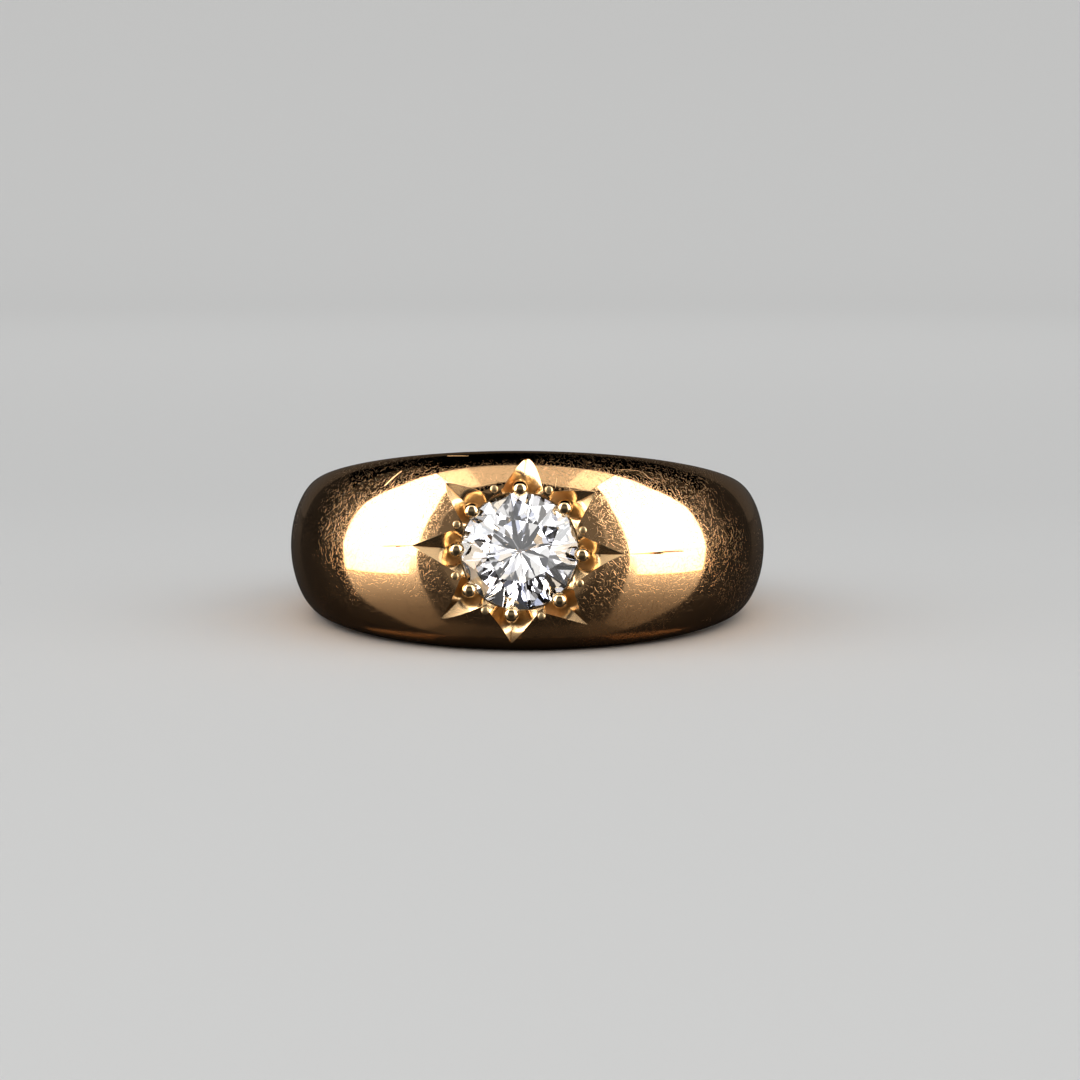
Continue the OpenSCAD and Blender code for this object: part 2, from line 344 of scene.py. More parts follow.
class Band:
    """The band's surfaces in millimetres, in the ring's own frame: its axis is z, the
    stone faces -y, and turn is the angle round the finger from the stone, rightwards.
    tilt is how far the resting ring leans back, from the finger hole's axis."""

    def __init__(self, sizes, star):
        for group in (sizes, star):
            for key in group.__annotations__:
                value = getattr(group, key)
                setattr(self, key, value if key in ("slack", "slope", "table") else value / MM)
        self.tilt = math.atan2(FINGER_HOLE["axis"][1], FINGER_HOLE["axis"][2])
        self.top = self.finger_r + self.front_crown
        self.girdle = self.top - self.sink
        self.seat_r = self.stone_r + self.seat_gap
        self.rim_r = self.seat_r + RIM_GAP

    def around(self, front, side, back, turn):
        """Front, side and back values joined by a constant, cos(turn) and cos(2 turn)."""
        mean = (front + back) / 2
        swing = (front - back) / 2 * np.cos(turn)
        return (mean + side) / 2 + swing + (mean - side) / 2 * np.cos(2 * turn)

    def half_width(self, turn):
        """Half the band's width at a turn."""
        return self.around(self.front_width, self.side_width, self.back_width, turn) / 2

    def edge_r(self, turn):
        """Radius at which the dome meets the flat edge."""
        return self.finger_r + self.around(self.front_edge, self.back_edge, self.back_edge, turn)

    def dome(self, turn, rise):
        """Points of the dome. Across the band it is a half-ellipse of the angle rise, from
        -90 to 90 degrees, pulled in by slack times the square of sin(rise)."""
        crown = self.around(self.front_crown, self.side_crown, self.back_crown, turn)
        edge = self.edge_r(turn)
        part = np.sin(rise)
        r = edge + (self.finger_r + crown - edge) * np.cos(rise) * (1 - self.slack * part**2)
        return ring_points(r, turn, self.half_width(turn) * part)

    def chart(self, x, z):
        """Turn and rise of the dome point that lies in front of x and z, found by turning
        x and z into angles with the radius of the last round."""
        turn, rise = np.arcsin(x / self.top), np.zeros_like(x)
        for _ in range(CHART_ROUNDS):
            rise = np.arcsin(np.clip(z / self.half_width(turn), -1, 1))
            r = np.linalg.norm(self.dome(turn, rise)[..., :2], axis=-1)
            turn = np.arcsin(x / r)
        return turn, rise

    def dipped(self, points):
        """Dome points near the stone, lowered by the square of how far inside nose_out they
        are, down to nose_up over the girdle at the rim. The dip starts further out by
        nose_side times the fourth power of how far sideways of the stone they are."""
        out = np.hypot(points[..., 0], points[..., 2])
        start = self.nose_out + self.nose_side * (points[..., 0] / out) ** 4
        near = np.clip((start - out) / (start - self.rim_r), 0, 1) ** 2
        drop = (-points[..., 1] - self.girdle - self.nose_up) * near
        return points + np.stack([0 * drop, drop, 0 * drop], -1)

    def height(self, x, z):
        """Height towards the stone of the dipped dome in front of x and z."""
        return -self.dipped(self.dome(*self.chart(x, z)))[..., 1]

    def crest(self, places):
        """Height of the plain dome, before the dip, in front of pairs of x and z."""
        return -self.dome(*self.chart(places[..., 0], places[..., 1]))[..., 1]

    def side_z(self, turn, r):
        """Half width of the flat edge at a radius: it leans by the resting tilt."""
        lean = math.tan(self.tilt) * (self.edge_r(turn) - r) * np.cos(turn)
        return self.half_width(turn) - lean

    def side_path(self, turn, sign):
        """The flat edge from the dome to the hole: straight in, then a quarter round."""
        turn = turn[..., None]
        outer_r, inner_r = self.edge_r(turn), self.finger_r + self.comfort
        flat_r = outer_r + (inner_r - outer_r) * np.linspace(0, 1, 4)
        flat = ring_points(flat_r, turn, self.side_z(turn, flat_r))
        bend = np.linspace(0, math.pi / 2, 5)[1:]
        r = self.finger_r + self.comfort * (1 - np.sin(bend))
        z = self.side_z(turn, inner_r) - self.comfort * (1 - np.cos(bend))
        bent = ring_points(r, turn, z)
        path = np.concatenate([flat, bent], -2)
        return path * np.array([1, 1, sign])

    def hole(self, turn, part):
        """Points of the finger hole's wall, part running from -1 to 1 across it."""
        z = (self.side_z(turn, self.finger_r + self.comfort) - self.comfort) * part
        return ring_points(self.finger_r, turn, z)


def lie_down(band, points):
    """Ring points in millimetres to metres, tipped back by the resting tilt, with the
    front edge on z = 0 and the hole's axis through the origin."""
    c, s = math.cos(band.tilt), math.sin(band.tilt)
    lift = band.front_width / 2 * c - (band.finger_r + band.front_edge) * s
    x, y, z = np.moveaxis(points, -1, 0)
    laid = np.stack([x, y * c + z * s + lift * s / c, z * c - y * s + lift], -1)
    return laid * MM


def block_border():
    """The front block's border as turn and part across, clockwise from its top middle."""
    half, full = BLOCK_ROUND // 2, BLOCK_ACROSS
    turn = np.linspace(0, BLOCK_TURN, half + 1)
    down = np.linspace(1, -1, full + 1)
    side = BLOCK_TURN * np.ones(full)
    turns = [turn[:-1], side, turn[:0:-1], -turn[:-1], -side, -turn[:0:-1]]
    parts = [np.ones(half), down[:-1], -np.ones(half), -np.ones(half), -down[:-1], np.ones(half)]
    return np.concatenate(turns), np.concatenate(parts)


def ray_half(edge, taper, reach, out):
    """Half width of a ray edge: in proportion to out up to the base, then the base's half
    width times the share of the ray that is left, to the power taper."""
    left = np.clip((reach - out) / (reach - RAY_BASE), 0, 1) ** taper
    return edge * np.where(out <= RAY_BASE, out / RAY_BASE, left)


def star_outline():
    """The star's outline as x, z and the ray that each point belongs to (-1 on the noses
    between rays), clockwise from the top ray's tip. Points crowd towards the tips."""
    left = (np.arange(1, EDGE_STEPS + 1) / EDGE_STEPS) ** TIP_CROWD
    places, owners = [], []
    for k, ray in enumerate(RAYS):
        after = RAYS[(k + 1) % len(RAYS)]
        right_edge = edge_points(ray, left, ray.right, ray.right_taper, 1)
        left_edge = edge_points(after, left[::-1], after.left, after.left_taper, -1)
        part = np.arange(1, NOSE_STEPS)[:, None] / NOSE_STEPS
        nose = right_edge[-1] + (left_edge[0] - right_edge[-1]) * part
        places += [turned(ray, ray.reach, 0)[None], right_edge, nose, left_edge]
        owners += [k] * (1 + EDGE_STEPS) + [-1] * len(nose) + [(k + 1) % len(RAYS)] * EDGE_STEPS
    x, z = np.concatenate(places).T
    return x, z, np.array(owners)


def turned(ray, out, aside):
    """x and z of a point out along a ray and aside from it, clockwise."""
    a = np.radians(ray.turn)
    return np.stack([out * np.sin(a) + aside * np.cos(a), out * np.cos(a) - aside * np.sin(a)], -1)


def edge_points(ray, left, edge, taper, sign):
    """Points of one edge of a ray, where left is the share of the ray beyond each."""
    out = ray.reach - (ray.reach - RAY_BASE) * left
    return turned(ray, out, sign * edge * left**taper)


def star_floor(band, x, z, owners):
    """Points of the star's cut near x and z. Each ray is a V: from its edges on the dome
    the walls run straight to a valley whose depth follows the half width. The valley runs
    from the tip towards the grain, and the points between it and the edges move aside
    with it. Round each grain a hollow's depth falls from its middle with the square of
    the distance. Also returns how far each point belongs to a hollow."""
    places, height, hollowed = np.stack([x, z], -1), band.height(x, z), np.zeros_like(x)
    for k, ray in enumerate(RAYS):
        mine = owners == k
        a = math.radians(ray.turn)
        out = x[mine] * math.sin(a) + z[mine] * math.cos(a)
        aside = x[mine] * math.cos(a) - z[mine] * math.sin(a)
        left = ray_half(ray.left, ray.left_taper, ray.reach, out)
        right = ray_half(ray.right, ray.right_taper, ray.reach, out)
        half = np.where(aside < 0, left, right)
        part = np.where(half > 1e-9, np.clip(np.abs(aside) / np.maximum(half, 1e-9), 0, 1), 1)
        edge = turned(ray, out, np.sign(aside) * half)
        lip = band.height(edge[..., 0], edge[..., 1])
        grain = math.radians(ray.grain)
        shift = RAY_BASE * math.sin(grain - a) * (ray.reach - out) / (ray.reach - RAY_BASE)
        shift = shift * np.clip((out - band.rim_r) / VALLEY_RUN, 0, 1)
        depth = np.minimum(band.depth, band.slope * (left + right) / 2)
        valley = band.crest(turned(ray, out, shift)) - depth
        middle = (band.stone_r + GRAIN_OUT) * np.array([math.sin(grain), math.cos(grain)])
        here = turned(ray, out, aside + shift * (1 - part))
        places[mine] = here
        far = np.linalg.norm(here - middle, axis=-1) / band.hollow_r
        hollow = band.crest(here) - band.hollow * (1 - far**2)
        walls = lip * part + valley * (1 - part)
        height[mine] = eased_min(walls, hollow, EASE)
        hollowed[mine] = np.clip(0.5 + (walls - hollow) / EASE, 0, 1)
    return np.stack([places[:, 0], -height, places[:, 1]], -1), hollowed


def eased_min(a, b, ease):
    """The lower of a and b, rounded off where they differ by less than ease."""
    blend = np.clip(0.5 + (a - b) / (2 * ease), 0, 1)
    return a + (b - a) * blend - ease * blend * (1 - blend)


def front_rows(band):
    """Rows of the front block, each of COLUMNS points, from the block's border over the
    dome to the star, down its cut into the seat and the light hole, and out over the
    finger hole's wall to the block's border there. Returns points and what mark_cut
    keeps."""
    border_turn, border_part = block_border()
    x, z, owners = star_outline()
    star_turn, star_rise = band.chart(x, z)
    rows, masks = [], []

    def add(points, mask):
        rows.append(points)
        masks.append(np.full(COLUMNS, mask, float))

    line = engraved_line(band)
    for part in np.linspace(1, 0, DOME_STEPS + 1) ** DOME_CROWD:
        turn = star_turn + (border_turn - star_turn) * part
        rise = star_rise + (border_part * math.pi / 2 - star_rise) * part
        points = band.dipped(band.dome(turn, rise))
        points[:, 1] += line(points)
        add(points, 0.5 * (part == 0))

    reach, way = np.hypot(x, z), np.arctan2(x, z)
    for part in np.linspace(0, 1, STAR_STEPS + 1)[1:]:
        out = reach + (band.rim_r - reach) * part
        points, hollow = star_floor(band, out * np.sin(way), out * np.cos(way), owners)
        add(points, 0.5 + 0.5 * hollow)

    def ring(r, h, mask=1.0):
        add(np.stack([r * np.sin(way), -h, r * np.cos(way)], -1), mask)

    ledge = np.minimum(-rows[-1][:, 1], band.girdle)
    for r in (band.seat_r, *SEAT_RINGS, band.light_r):
        cone = band.girdle - (band.seat_r - r) * band.pavilion / band.stone_r
        ring(r, np.minimum(cone, ledge))
    wall = np.sqrt(band.finger_r**2 - (band.light_r * np.sin(way)) ** 2)
    throat = -rows[-1][:, 1]
    for part in THROAT_RINGS:
        ring(band.light_r, throat + (wall - throat) * part, 1 - part)

    mouth = band.light_r + MOUTH_LIP
    mouth_turn = np.arcsin(mouth * np.sin(way) / band.finger_r)
    mouth_part = mouth * np.cos(way) / band.hole(mouth_turn, 1)[:, 2]
    for part in np.linspace(0, 1, HOLE_STEPS + 1):
        turn = mouth_turn + (border_turn - mouth_turn) * part
        across = mouth_part + (border_part - mouth_part) * part
        add(band.hole(turn, across), 0)
    return np.array(rows), np.array(masks)


def engraved_line(band):
    """How far the two fine engraved lines beyond the side rays sink the dome: only the
    column that runs out from each tip sinks, easing in and out along x."""
    depth, ends = np.zeros(COLUMNS), np.ones(COLUMNS)
    for ray, end, deeper in LINES:
        tip = ray * COLUMNS // len(RAYS)
        depth[tip], ends[tip] = band.line_depth * deeper, end

    def sink(points):
        run = np.abs(points[:, 0])
        fade = np.clip((ends - run) / LINE_EASE_OUT, 0, 1)
        return depth * fade * np.clip((run - LINE_START) / LINE_EASE_IN, 0, 1)

    return sink


def quads(rows, columns, closed):
    """Corner numbers of the quads of a grid of rows, each joined to the next."""
    a = np.arange(rows * columns).reshape(rows, columns)
    if closed:
        a = np.concatenate([a, a[:, :1]], 1)
    corners = [a[:-1, :-1], a[:-1, 1:], a[1:, 1:], a[1:, :-1]]
    return np.stack(corners, -1).reshape(-1, 4)


def weld(grids):
    """Joins grids of (points, mask, closed) where their points meet to 0.01 microns.
    Returns points, masks and quads without those that have collapsed."""
    points, masks, faces, start = [], [], [], 0
    for grid, mask, closed in grids:
        rows, columns = grid.shape[:2]
        points.append(grid.reshape(-1, 3))
        masks.append(np.broadcast_to(mask, (rows, columns)).ravel())
        faces.append(quads(rows, columns, closed) + start)
        start += rows * columns
    points, masks, faces = map(np.concatenate, (points, masks, faces))
    keys = np.round(points * 1e5).astype(np.int64)
    _, first, same = np.unique(keys, axis=0, return_index=True, return_inverse=True)
    return points[first], masks[first], same.ravel()[faces]


def corner_lists(faces):
    """Quads as lists of corners; one with a repeated corner becomes a triangle."""
    kept = faces != np.roll(faces, -1, axis=1)
    whole, third = kept.all(1), kept.sum(1) == 3
    return faces[whole].tolist() + faces[third][kept[third]].reshape(-1, 3).tolist()


def band_surface(band):
    """The whole band: the front block's rows, the strips of flat edge above and below it,
    and closed sections carried round the rest of the finger."""
    rows, masks = front_rows(band)
    block_turn = np.linspace(-BLOCK_TURN, BLOCK_TURN, BLOCK_ROUND + 1)
    turn = np.linspace(BLOCK_TURN, 2 * math.pi - BLOCK_TURN, BACK_ROUND + 1)
    part = np.linspace(-1, 1, BLOCK_ACROSS + 1)
    outer = band.dome(turn[:, None], part * math.pi / 2)
    inner = band.hole(turn[:, None], part)
    grids = [
        band.side_path(block_turn, 1),
        band.side_path(block_turn, -1)[:, ::-1],
        outer,
        inner[:, ::-1],
        band.side_path(turn, 1),
        band.side_path(turn, -1)[:, ::-1],
    ]
    return weld([(rows[::-1], masks[::-1], True), *((grid, 0, False) for grid in grids)])


def add_mesh(name, points, faces, material, smooth=True):
    """A mesh object of points in metres."""
    mesh = bpy.data.meshes.new(name)
    mesh.from_pydata(points, [], faces)
    mesh.polygons.foreach_set("use_smooth", np.full(len(mesh.polygons), smooth))
    mesh.materials.append(material)
    made = bpy.data.objects.new(name, mesh)
    bpy.context.scene.collection.objects.link(made)
    return made


def make_piece(name, points, faces, material, smooth=True):
    """A piece of the ring, with its faces outwards, riding on the ring's only body."""
    piece = add_mesh(name, points.tolist(), faces, material, smooth)
    work = bmesh.new()
    work.from_mesh(piece.data)
    bmesh.ops.recalc_face_normals(work, faces=work.faces)
    work.to_mesh(piece.data)
    work.free()
    piece.data.update()
    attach(piece, BODY)
    return piece


def mark_cut(mesh, masks):
    """Keeps at each vertex what the gold reads: 0 on worn polish and on the grains, 0.5 on
    the bright-cut walls of the rays, and 1 in the hollows, in the seat and on the rounded
    ends of the noses."""
    mesh.attributes.new("cut", "FLOAT", "POINT").data.foreach_set("value", masks)


def grain_surface(band, turn):
    """One raised grain: a circle carried up a stem that leans in over the stone, swelling
    into a ball. Its radius is that of the stem, then of the ball's latitude."""
    around = np.linspace(0, 2 * math.pi, 33)[:-1]
    lift = np.linspace(-STEM_LENGTH, 0, 16)[:-1]
    part = np.clip((lift + SWELL) / SWELL, 0, 1)
    swell = part**2 * (3 - 2 * part)
    stem_r = STEM_R + (band.grain_r - STEM_R) * swell
    stem_out = band.stone_r + STEM_OUT - (STEM_OUT - GRAIN_OUT) * swell
    latitude = np.linspace(0, math.pi / 2, 12)
    ball_out = np.full(len(latitude), band.stone_r + GRAIN_OUT)
    r = np.concatenate([[0], stem_r, band.grain_r * np.cos(latitude)])
    out = np.concatenate([[stem_out[0]], stem_out, ball_out])
    h = np.concatenate([[-STEM_LENGTH], lift, band.grain_r * np.sin(latitude)])
    h = h + band.girdle + GRAIN_UP
    side = r[:, None] * np.cos(around)
    along = out[:, None] + r[:, None] * np.sin(around)
    a = math.radians(turn)
    x = along * math.sin(a) + side * math.cos(a)
    z = along * math.cos(a) - side * math.sin(a)
    return np.stack([x, -h[:, None] + 0 * x, z], -1)


def nose_bead(band, place):
    """The rounded end of the nose between two rays: a ball half as high as it is wide,
    sunk in the metal."""
    latitude = np.linspace(-math.pi / 2, math.pi / 2, 17)[:, None]
    around = np.linspace(0, 2 * math.pi, 25)[:-1]
    flat = band.nose_r * np.cos(latitude)
    x, z = place
    h = band.height(*place[:, None])[0] - NOSE_SINK + band.nose_r / 2 * np.sin(latitude)
    return np.stack([x + flat * np.cos(around), -h + 0 * around, z + flat * np.sin(around)], -1)


def nose_places():
    """x and z of the ends of the noses, midway between the edges of neighbouring rays."""
    here = np.array([NOSE_PLACE])
    ends = []
    for k, ray in enumerate(RAYS):
        after = RAYS[(k + 1) % len(RAYS)]
        right = edge_points(ray, here, ray.right, ray.right_taper, 1)
        left = edge_points(after, here, after.left, after.left_taper, -1)
        ends.append((right + left)[0] / 2)
    return np.array(ends)


def diamond_surface(band):
    """A hand-cut brilliant. Its corners lie on rings about its axis, at 16 steps of turn,
    each a little out of place: the table's, the star facets' tips, both edges of the
    girdle, the lower facets' tips and the culet's. Each half facet next to the girdle is
    a plane through its tip and two corners of the girdle, so the points between them lie
    at the girdle's radius where they meet that plane."""
    stray = np.random.default_rng(7)
    steps = np.arange(16)
    even, odd = steps[::2], steps[1::2]

    def ring(at, r, h, out, up):
        turn = STONE_TURN + at * STONE_STEP
        r = r + stray.uniform(-out, out, len(at))
        h = h + stray.uniform(-up, up, len(at))
        return np.stack([r * np.cos(turn), r * np.sin(turn), h], -1)

    table_r = band.stone_r * band.table
    star_r = (table_r + band.stone_r) / 2
    inset = math.cos(STONE_STEP)
    star_h = band.crown * (band.stone_r - star_r * inset) / (band.stone_r - table_r)
    lower_r = LOWER_SHARE * band.stone_r
    lower_h = -band.pavilion * (1 - lower_r * inset / band.stone_r)
    culet_h = -band.pavilion * (1 - CULET_R * inset / band.stone_r)
    table = ring(even, table_r, band.crown, *STRAY["table"])
    star = ring(odd, star_r, star_h, *STRAY["star"])
    upper = ring(steps, band.stone_r, GIRDLE_TOP, *STRAY["upper"])
    under = ring(steps, band.stone_r, GIRDLE_FOOT, *STRAY["under"])
    lower = ring(odd, lower_r, lower_h, *STRAY["lower"])
    culet = ring(odd, CULET_R, culet_h, *STRAY["culet"])

    def rim(corners, tips):
        after, tip = np.roll(corners, -1, axis=0), np.repeat(tips, 2, axis=0)
        n = np.cross(corners - tip, after - tip)[:, None]
        turn = STONE_TURN + (steps[:, None] + np.arange(4) / 4) * STONE_STEP
        x, y = band.stone_r * np.cos(turn), band.stone_r * np.sin(turn)
        tip = tip[:, None]
        fall = n[..., 0] * (x - tip[..., 0]) + n[..., 1] * (y - tip[..., 1])
        h = tip[..., 2] - fall / n[..., 2]
        return np.stack([x, y, h], -1).reshape(-1, 3)

    points = np.concatenate([table, star, rim(upper, star), rim(under, lower), lower, culet])
    # Numbers of the first corners of the table, star tips, girdle edges, lower tips, culet
    t, s, u, d, w, c = 0, 8, 16, 80, 144, 152
    faces = [list(range(t, t + 8)), list(range(c, c + 8))]
    for k in range(8):
        k1, k0 = (k + 1) % 8, (k + 7) % 8
        first, half, last = 8 * k, 8 * k + 4, (8 * k + 8) % 64
        faces += [[t + k, t + k1, s + k], [t + k, s + k, u + first], [t + k, u + first, s + k0]]
        low = d + first
        faces += [[w + k, low, c + k], [c + k, low, c + k0], [c + k0, low, w + k0]]
        for tip, edge in ((s + k, u), (w + k, d)):
            faces.append([tip, *range(edge + first, edge + half + 1)])
            faces.append([tip, *range(edge + half, edge + first + 8), edge + last])
    faces += [[u + k, u + (k + 1) % 64, d + (k + 1) % 64, d + k] for k in range(64)]
    x, y, h = points.T
    return np.stack([x, -band.girdle - h, y], -1), faces


def feed(tree, socket, value):
    """Links a socket to another, or gives it a number. None leaves it alone."""
    if isinstance(value, bpy.types.NodeSocket):
        tree.links.new(value, socket)
    elif value is not None:
        socket.default_value = value


def node(tree, kind, place=(0, 0), **values):
    """A shader node with its settings, and its inputs as numbers or links, by name."""
    made = tree.nodes.new(kind)
    made.location = place
    for key, value in values.items():
        if key in made.inputs:
            feed(tree, made.inputs[key], value)
        else:
            setattr(made, key, value)
    return made


def new_material(name, values):
    """A material with only a Principled shader, whose inputs are given by name."""
    material = bpy.data.materials.new(name)
    material.use_nodes = True
    tree = material.node_tree
    tree.nodes.clear()
    shader = node(tree, "ShaderNodeBsdfPrincipled", **values)
    out = node(tree, "ShaderNodeOutputMaterial", (300, 0))
    tree.links.new(shader.outputs[0], out.inputs[0])
    return material, tree, shader


def math_node(tree, operation, *values):
    """The output of a Math node on sockets or numbers."""
    made = node(tree, "ShaderNodeMath", operation=operation)
    for socket, value in zip(made.inputs, values):
        feed(tree, socket, value)
    return made.outputs[0]


def vector_node(tree, operation, *values):
    """The output of a Vector Math node: its vector, or its number for a length or a dot
    product."""
    made = node(tree, "ShaderNodeVectorMath", operation=operation)
    for socket, value in zip(made.inputs, values):
        feed(tree, socket, value)
    return made.outputs["Value" if operation in ("LENGTH", "DOT_PRODUCT") else "Vector"]


def remap(tree, value, low, high, low_to=0.0, high_to=1.0):
    """Eases a value from one range into another."""
    ranges = {"From Min": low, "From Max": high, "To Min": low_to, "To Max": high_to}
    made = node(tree, "ShaderNodeMapRange", interpolation_type="SMOOTHSTEP", **ranges)
    feed(tree, made.inputs["Value"], value)
    return made.outputs["Result"]


def noise(tree, coords, size, detail=2.0, output="Fac"):
    """Soft noise whose patches are about size metres across."""
    made = node(tree, "ShaderNodeTexNoise", Vector=coords, Scale=1 / size, Detail=detail)
    return made.outputs[output]


def hairlines(tree, coords, cell, width):
    """Fine straight scratches in all directions. Each cell of space has a thin slab
    through its middle, turned at random and cut off short of the cell's sides, and a
    scratch is where the surface passes through a slab."""
    cells = node(tree, "ShaderNodeTexVoronoi", Vector=coords, Scale=1 / cell)
    away = vector_node(tree, "SUBTRACT", coords, cells.outputs["Position"])
    turn = vector_node(tree, "SUBTRACT", cells.outputs["Color"], (0.5, 0.5, 0.5))
    turn = vector_node(tree, "NORMALIZE", turn)
    off = math_node(tree, "ABSOLUTE", vector_node(tree, "DOT_PRODUCT", away, turn))
    line = remap(tree, off, width / 2, 0)
    ends = remap(tree, vector_node(tree, "LENGTH", away), cell * 0.6, cell * 0.4)
    return math_node(tree, "MULTIPLY", line, ends)


def dent(tree, coords, start, end, width):
    """A groove from start to end in metres: 1 along its middle, falling to 0 at half its
    width from the nearest point between the two."""
    middle, way = (start + end) / 2, end - start
    half = np.linalg.norm(way) / 2
    way = way / (2 * half)
    away = vector_node(tree, "SUBTRACT", coords, middle)
    along = vector_node(tree, "DOT_PRODUCT", away, way)
    along = math_node(tree, "MAXIMUM", math_node(tree, "MINIMUM", along, half), -half)
    back = node(tree, "ShaderNodeCombineXYZ")
    for socket, part in zip(back.inputs, way):
        tree.links.new(math_node(tree, "MULTIPLY", along, part), socket)
    off = vector_node(tree, "LENGTH", vector_node(tree, "SUBTRACT", away, back.outputs[0]))
    return remap(tree, off, width / 2, 0)


def bump(tree, height, distance, under=None, sunk=False):
    """The normal of a surface that a height from 0 to 1 raises, or sinks, by a distance."""
    made = node(tree, "ShaderNodeBump", Strength=1, Distance=distance, invert=sunk)
    feed(tree, made.inputs["Height"], height)
    feed(tree, made.inputs["Normal"], under)
    return made.outputs["Normal"]


def gold_material(look, band):
    """Worn polished gold: speckle and hairline scratches of three sizes, with a haze
    where they crowd, over faint waves left by polishing. The star's walls are bright-cut,
    and its hollows keep the ripples of the tool that cut them."""
    material, tree, shader = new_material("gold", {"Metallic": 1})
    coords = node(tree, "ShaderNodeTexCoord").outputs["Object"]
    cut = node(tree, "ShaderNodeAttribute", attribute_name="cut").outputs["Fac"]
    worn = remap(tree, cut, 0.5, 0)
    hollow = remap(tree, cut, 0.5, 1)

    tint = node(tree, "ShaderNodeMix", data_type="RGBA", Factor=cut)
    tint.inputs["A"].default_value = (*look.gold, 1)
    tint.inputs["B"].default_value = (*look.cut, 1)
    tree.links.new(tint.outputs["Result"], shader.inputs["Base Color"])

    bend = noise(tree, coords, BEND, output="Color")
    bend = vector_node(tree, "SUBTRACT", bend, (0.5, 0.5, 0.5))
    bend = vector_node(tree, "MULTIPLY", bend, [BEND_HEIGHT] * 3)
    bent_coords = vector_node(tree, "ADD", coords, bend)
    speckle = remap(tree, noise(tree, coords, SPECKLE), 0.56, 0.74)
    lines = math_node(tree, "MULTIPLY", speckle, 0.6)
    for cell, width, weight in HAIRLINES:
        layer = math_node(tree, "MULTIPLY", hairlines(tree, bent_coords, cell, width), weight)
        lines = math_node(tree, "MAXIMUM", lines, layer)
    crowd = remap(tree, noise(tree, coords, CROWD), 0.35, 0.65, 0.4, 1.0)
    lines = math_node(tree, "MULTIPLY", lines, math_node(tree, "MULTIPLY", crowd, worn))

    patchy = remap(tree, noise(tree, coords, POLISH_PATCH, 4.0), 0.3, 0.7, 0.7, 1.4)
    rough = math_node(tree, "MULTIPLY", patchy, look.roughness)
    rough = math_node(tree, "MULTIPLY_ADD", lines, SCRATCH_ROUGHNESS, rough)
    rough = math_node(tree, "MULTIPLY_ADD", cut, look.cut_roughness, rough)
    tree.links.new(rough, shader.inputs["Roughness"])

    dents = None
    for start, end, width in DENTS:
        x, z = np.array([start, end]).T
        start, end = lie_down(band, np.stack([x, -band.height(x, z), z], -1))
        one = dent(tree, coords, start, end, width * MM)
        dents = one if dents is None else math_node(tree, "MAXIMUM", dents, one)
    ripple = math_node(tree, "MULTIPLY", noise(tree, coords, RIPPLE, 3.0), hollow)
    normal = bump(tree, noise(tree, coords, WAVE, 1.0), look.waves)
    normal = bump(tree, lines, look.scratch, normal, sunk=True)
    normal = bump(tree, dents, look.dent, normal, sunk=True)
    normal = bump(tree, ripple, look.ripples, normal)
    tree.links.new(normal, shader.inputs["Normal"])
    return material


def bright_gold_material(look):
    """The grains' gold, polished by the tool that shapes them. The ends of the metal
    between the rays are left softer."""
    values = {"Base Color": (*look.cut, 1), "Metallic": 1}
    material, tree, shader = new_material("bright_gold", values)
    coords = node(tree, "ShaderNodeTexCoord").outputs["Object"]
    ends = node(tree, "ShaderNodeAttribute", attribute_name="cut").outputs["Fac"]
    patchy = remap(tree, noise(tree, coords, GRAIN_PATCH, 3.0), 0.3, 0.7, 0.6, 1.6)
    rough = math_node(tree, "MULTIPLY", patchy, look.roughness)
    rough = math_node(tree, "MULTIPLY_ADD", ends, look.cut_roughness, rough)
    tree.links.new(rough, shader.inputs["Roughness"])
    return material


class RING_OT_band(bpy.types.Operator):
    """Builds the domed band with the star cut into its front"""

    bl_idname = "ring.band"
    bl_label = "Domed Band"

    def execute(self, context):
        scene = context.scene
        band = Band(scene.ring_band, scene.ring_star)
        points, masks, faces = band_surface(band)
        material = gold_material(scene.ring_gold, band)
        piece = make_piece("domed_band", lie_down(band, points), corner_lists(faces), material)
        piece.data.set_sharp_from_angle(angle=math.radians(24))
        mark_cut(piece.data, masks)
        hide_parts("band")
        return {"FINISHED"}


class RING_OT_grains(bpy.types.Operator):
    """Builds the raised grains that hold the stone, and the rounded ends of the noses"""

    bl_idname = "ring.grains"
    bl_label = "Grains"

    def execute(self, context):
        scene = context.scene
        band = Band(scene.ring_band, scene.ring_star)
        grids = [(grain_surface(band, ray.grain), 0, True) for ray in RAYS]
        grids += [(nose_bead(band, place), 1, True) for place in nose_places()]
        points, masks, faces = weld(grids)
        material = bright_gold_material(scene.ring_gold)
        piece = make_piece("grains", lie_down(band, points), corner_lists(faces), material)
        mark_cut(piece.data, masks)
        return {"FINISHED"}


